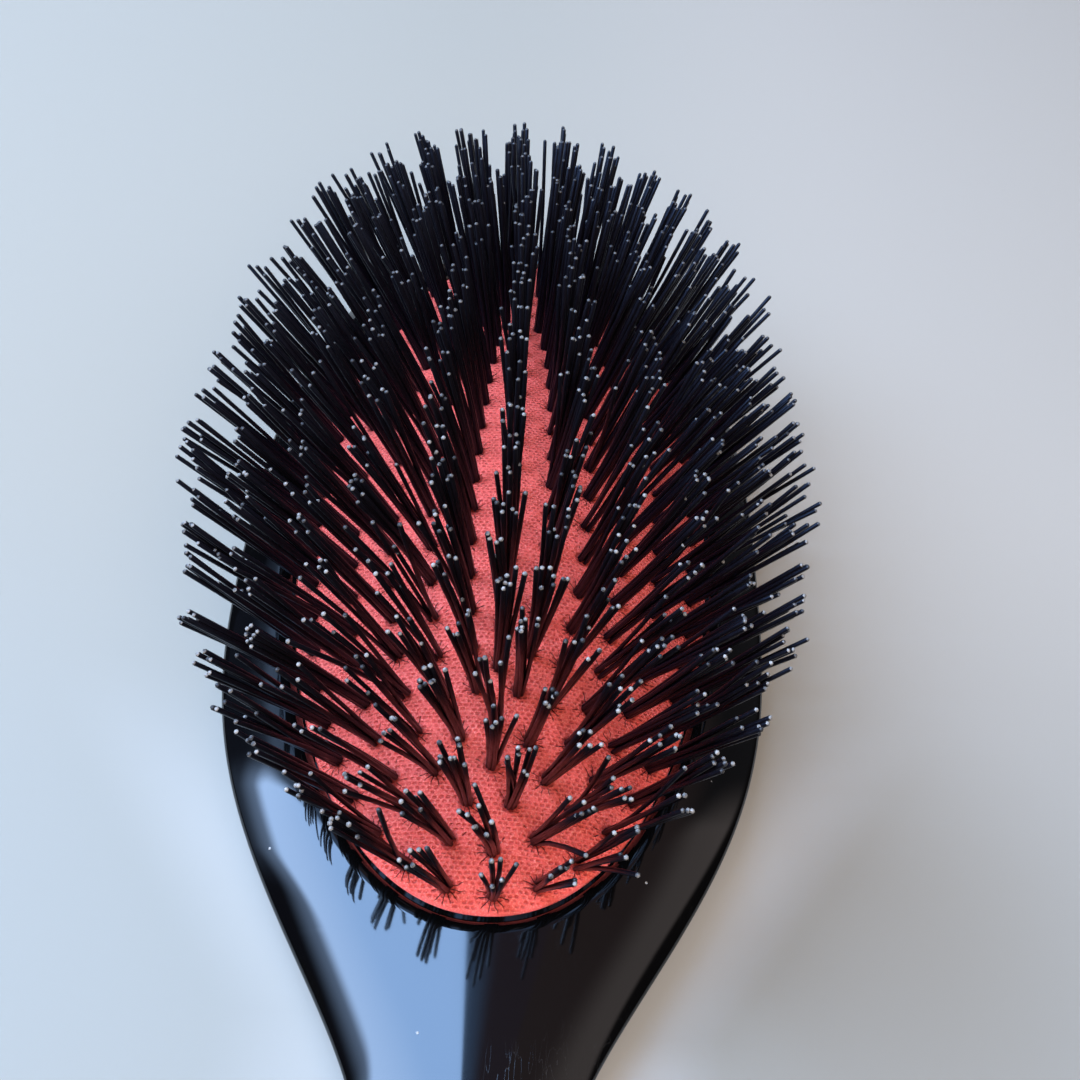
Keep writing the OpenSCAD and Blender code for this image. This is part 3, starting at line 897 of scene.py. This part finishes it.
def tube_faces(m, r):
    """Quads along m tubes of r rings, and the triangles from their last rings to the
    poles, which are numbered after all the rings, two to a tube."""
    each = r * SIDES
    start = np.arange(m)[:, None] * each
    quads = (start[..., None] + grid_quads(r, SIDES)[None]).reshape(-1, 4)
    ids, far = np.arange(SIDES), start + (r - 1) * SIDES
    pole = np.broadcast_to(m * each + np.arange(m)[:, None] * 2, (m, SIDES))
    cap_a = np.stack([start + np.roll(ids, -1), start + ids, pole], -1)
    cap_b = np.stack([far + ids, far + np.roll(ids, -1), pole + 1], -1)
    return quads, np.concatenate([cap_a, cap_b]).reshape(-1, 3)


print("a strand has", sum(len(part) for part in tube_faces(1, 2 * len(LEVELS) + 5)), "faces")


# %% One group of tufts
def bristle_group(name, foot):
    """All the strands of one group of tufts as one piece, and how many they are. A
    path in a tuft's own axes is turned and moved to its foot: axes . path + base."""
    base, axes = tuft_axes(foot)
    path = strand_paths(len(foot))
    longer = 1 + LONGER * smooth((foot[:, 1] - LONG_FROM) / LONG_OVER)[:, None, None]
    path[..., 2] *= np.where(path[..., 2] > 0, longer, 1)
    along = np.concatenate([LEVELS, [0, 0, 0], LEVELS[::-1]])
    path = np.einsum("tij,tskj->tski", axes, path) + base[:, None, None, :]
    path = path + COMBED * BRISTLE_LEN * (along ** COMB_N)[:, None]
    use = np.ones(path.shape[:2], bool)
    use[:, 3] = chance.random(len(foot)) < FOURTH
    level = np.broadcast_to(axes[:, None, :, 1], path.shape[:2] + (3,))[use]
    path = path[use]
    rings, poles = tubes(path, level, chance.uniform(THIN, THICK, len(path)))
    m, r = rings.shape[:2]
    quads, caps = tube_faces(m, r)
    points = np.concatenate([rings.reshape(-1, 3), poles.reshape(-1, 3)])
    piece = make_piece(name, points, [quads, caps], [black_nylon, milky_ends])
    ring_of = (np.arange(len(quads)) // SIDES) % (r - 1)
    milky = np.concatenate([(ring_of == 0) | (ring_of == r - 2), np.ones(len(caps), bool)])
    piece.data.polygons.foreach_set("material_index", milky.astype(np.int32))
    along = np.tile(np.repeat(np.concatenate([[1], along, [1]]), SIDES), m)
    mark_points(piece, "along", np.concatenate([along, np.ones(2 * m)]))
    return piece, len(path)


# %% All the groups, each on the body that its tufts ride on
strands = 0
body_of = {n: b for b, members in frame["record"]["behaviour"]["bodies"].items() for n in members}
for group, foot in feet.items():
    node = "tufts_" + group
    piece, count = bristle_group("bristles_" + group, foot)
    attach(piece, body_of[node])
    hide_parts(node)
    strands += count
print(strands, "strands,", 2 * strands, "bristles")

# %% [markdown]
# ## The table
# The brush lies on a pale table beside a window, up on the left beyond the
# head. The table's tones are painted light and shade: cooler on the near left,
# darkest on the near right and lightest on the far right. A brown patch off to
# the right of the brush is a painted shadow, the table is painted paler beside
# the handle so that its shadow stays soft, and far off, where the lamps hardly
# reach, its paint is paler so that it stays light.

# %% Table
# the four corner tones are painted light and shade: cooler on the near left, darkest on the near
# right, lightest on the far right
LEFT_NEAR, LEFT_FAR = (0.274, 0.287, 0.286), (0.292, 0.285, 0.266)
RIGHT_NEAR, RIGHT_FAR = (0.262, 0.259, 0.250), (0.345, 0.326, 0.308)
# the brown is a painted shadow; the pale tones beside the handle and far off are painted light
SHADOW_BROWN, FLECK, PAINTED_LIGHT_BESIDE, PAINTED_LIGHT_FAR = (0.17, 0.14, 0.10), (0.29, 0.30, 0.33), (0.44, 0.46, 0.50), (0.80,) * 3
SHADOW_AT, SHADOW_REACH, BEYOND = (42.0, 4.0, 0.0), (40, 6), (250, 800)


def paint_table(c):
    """Four corner tones of painted light and shade, mixed both ways, with a painted shadow, random
    flecks and patches of painted light laid over them.
    """
    x, y, z = c.place().split()
    up = y.step(-10, 80)
    tone = x.step(-20, 60).mix(up.mix(LEFT_NEAR, LEFT_FAR), up.mix(RIGHT_NEAR, RIGHT_FAR))
    # painted shadow: a brown patch off to the right of the brush
    warm = c.away("DISTANCE", c.place(), SHADOW_AT).step(*SHADOW_REACH)
    tone = (c.noise(c.place(), 0.02, 3.0) * 0.06).mix((warm * 0.35).mix(tone, SHADOW_BROWN), FLECK)
    # painted light: paler beside the handle, so that its shadow stays soft
    off = abs(x) - c.math("MAXIMUM", y + 5, 0.0) * 0.75
    beside = off.step(27, 13) * y.step(38, 10) * y.step(-60, -20) * (x.step(-2, 2) * 0.5 + 0.35)
    # painted light: paler far off, where the lamps hardly reach
    far = c.away("LENGTH", c.place()).step(*BEYOND)
    return {"Base Color": far.mix(beside.mix(tone, PAINTED_LIGHT_BESIDE), PAINTED_LIGHT_FAR)}


table_top = new_finish("pale_table", {"Roughness": 0.7, "Specular IOR Level": 0.25}, paint_table)
TABLE_HALF, TABLE_Z = 900, -0.05


def card(name, corners, finish):
    """A flat four-cornered card of the stage, corners in millimetres."""
    piece = make_piece(name, corners, [np.array([[0, 1, 2, 3]])], [finish], slide=False)
    return piece


signs = ((-1, -1), (1, -1), (1, 1), (-1, 1))
card("table", [(TABLE_HALF * i, TABLE_HALF * j, TABLE_Z) for i, j in signs], table_top)
print("the table is", 2 * TABLE_HALF, "mm square")

# %% [markdown]
# ## The window pane
# Gloss black shows whatever stands round it, so what it sees is made apart
# from what lights it. This card is seen by gloss alone: it glows but lights
# nothing, so it is a painted reflection. It is a window with blue sky, a soft
# foot, and a sharp side that cuts the neck's reflection in two, and past that
# side it is nearly dark.

# %% The window pane that the gloss sees
PANE_SIDE = -2
PANE_X, PANE_Y, PANE_Z = (-620, 140), (-160, 420), (130, 721)  # it leans over the brush
SKY, HIGH_SKY, BELOW = (0.41, 0.62, 1.0), (0.30, 0.51, 0.90), (0.001, 0.001, 0.002)
BY_SIDE, PAST_SIDE = (0.024, 0.044, 0.084), (0.0125, 0.0095, 0.013)


def paint_pane(c):
    """Sky above a soft foot, and near dark past the side."""
    x, y, z = c.place().split()
    sill = x + y.step(-100, -25) * 80 - y.step(100, 180) * 110
    foot = sill.step(-520, -380) * 0.25 + sill.step(-420, -348) * 0.75 + y.step(-100, -25) * 0.03
    sky = x.step(-420, -60).mix(SKY, HIGH_SKY)
    past = x.step(PANE_SIDE + 10, PANE_SIDE + 60).mix(BY_SIDE, PAST_SIDE)
    lit = (foot * (y.step(165, 112) * 0.9 + 0.1)).mix(BELOW, sky)
    return {"Emission Color": x.step(PANE_SIDE, PANE_SIDE + 5).mix(lit, past)}


# the card glows but lights nothing: a painted reflection for the gloss
painted_window_reflection = new_finish(
    "painted_window_reflection",
    {"Base Color": (0, 0, 0, 1), "Specular IOR Level": 0.0, "Emission Strength": 18.0},
    paint_pane)
(x0, x1), (y0, y1), (z0, z1) = PANE_X, PANE_Y, PANE_Z
pane = card("window_pane", [(x0, y0, z0), (x0, y1, z0), (x1, y1, z1), (x1, y0, z1)], painted_window_reflection)
pane.visible_camera = pane.visible_diffuse = pane.visible_shadow = False

# %% [markdown]
# ## Lamps
# Two large area lamps give the soft light: a cool one by the window and a
# warm one on the near side, for the rest of the room. Gloss doesn't see them,
# because it has the pane and the world for that.

# %% Lamps
def area_lamp(name, place, aim, size, watts, colour):
    """A rectangular lamp at place that faces aim, in metres, and that gloss doesn't see."""
    lamp = bpy.data.lights.new(name, "AREA")
    lamp.shape, lamp.size, lamp.size_y = "RECTANGLE", *size
    lamp.energy, lamp.color = watts, colour
    holder = bpy.data.objects.new(name, lamp)
    holder.location = place
    holder.rotation_euler = (Vector(aim) - Vector(place)).to_track_quat("-Z", "Y").to_euler()
    holder.visible_camera = holder.visible_glossy = False
    bpy.context.scene.collection.objects.link(holder)
    print(f"lamp {name}: {watts} W, {round(holder.location.length / MM)} mm from the middle")


area_lamp("window", (-0.331, 0.15, 0.50), (0, 0.15, 0), (0.42, 0.58), 10.2, (0.50, 0.70, 0.95))
area_lamp("ceiling", (0.06, -0.52, 0.80), (0, 0.05, 0), (0.9, 0.9), 10.5, (1.0, 0.84, 0.65))

# %% [markdown]
# ## The room
# The world is the rest of what gloss sees: warm walls that are dark beside
# the window and in the far corner, a dark band low down, which gives the
# brush its black edges, and a dim ceiling. The camera sees plain pale grey
# past the end of the table instead. The pattern follows the direction of
# sight, which a world gives as its Generated coordinates.

# %% Room
WALL, BY_WINDOW, CORNER_WALL = (0.76, 0.66, 0.64), (0.012, 0.012, 0.016), (0.07, 0.07, 0.08)
LOW_BAND, CEILING, BACKDROP = (0.02, 0.018, 0.018), (0.25, 0.18, 0.18), (0.62, 0.65, 0.69)
world = bpy.data.worlds.new("room")
bpy.context.scene.world = world
world.use_nodes = True
world.node_tree.nodes.clear()
w = Sock(world.node_tree)
dx, dy, dz = w.node("TexCoord", out="Generated").split()
window_wall = dx.step(0.05, -0.3) * dy.step(-0.6, -0.42)
far_corner = dx.step(0.0, 0.3) * dy.step(0.14, 0.30)
walls = far_corner.mix(window_wall.mix(WALL, BY_WINDOW), CORNER_WALL)
low_down = (dz + dy * 0.33).step(0.24, 0.30).mix(LOW_BAND, walls)
room = dz.step(0.50, 0.88).mix(low_down, CEILING)
seen = w.node("LightPath", out="Is Camera Ray").mix(room, BACKDROP)
glow = w.node("Background", {}, {"Color": seen, "Strength": 1.0})
world.node_tree.links.new(glow.out, world.node_tree.nodes.new("ShaderNodeOutputWorld").inputs[0])
print("room:", len(world.node_tree.nodes), "nodes")

# %% [markdown]
# ## The camera
# The camera looks down at the head from over the neck, close enough for the
# near end of the cushion to look large and the far tips to crowd together.

# %% Camera
camera = bpy.data.objects.new("camera", bpy.data.cameras.new("camera"))
camera.data.lens, camera.data.sensor_width, camera.data.clip_start = 43.33, 36.0, 0.01
camera.location = (-0.00382, -0.05222, 0.13186)
camera.rotation_euler = np.radians((40.101, -5.529, 2.1))
bpy.context.scene.collection.objects.link(camera)
bpy.context.scene.camera = camera
bpy.context.scene.view_settings.view_transform = "Standard"
print("camera", round(camera.location.length / MM), "mm from the middle of the brush")
